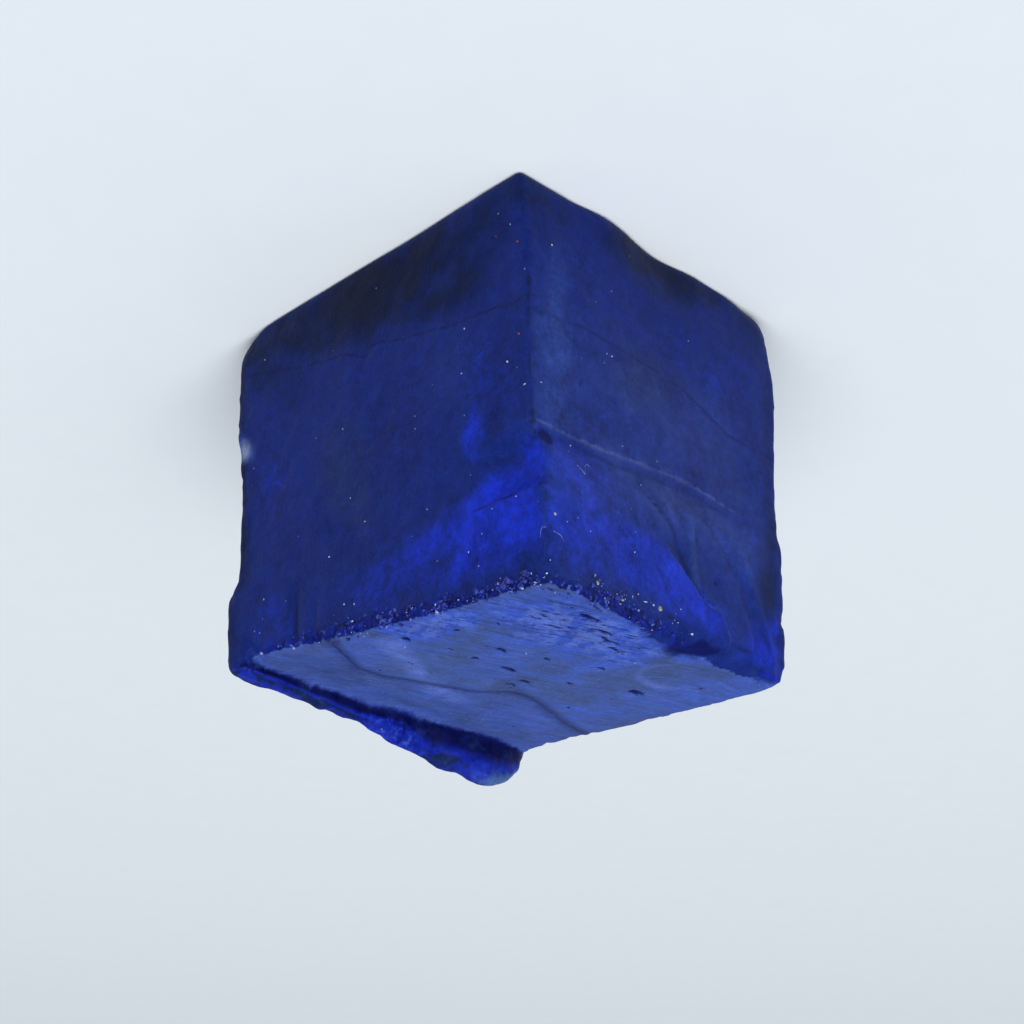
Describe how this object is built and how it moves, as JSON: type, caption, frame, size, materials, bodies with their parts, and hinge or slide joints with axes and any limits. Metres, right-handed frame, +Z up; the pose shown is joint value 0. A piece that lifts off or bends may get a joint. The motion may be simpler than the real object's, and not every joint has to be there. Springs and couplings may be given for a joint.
{
  "type": "rough tanzanite",
  "caption": "Deep blue, nearly cubic rough stone with a paler sawn top, worn sides and a ragged break-off lip along one top edge.",
  "frame": {"origin": "bottom centre of the stone's box, on the plane of its flat base", "axes": "+Z up out of the pale sawn top, -Y out of the side with the near scar, +X out of the side that carries the lip"},
  "size_m": [0.0184, 0.017, 0.0172],
  "materials": {
    "violet_blue_stone": "opaque satin stone, ultramarine to violet blue on the worn sides, paler and softly sheened on the sawn top"
  },
  "bodies": {
    "root": {"tanzanite_crystal": "violet_blue_stone"}
  },
  "joints": []
}
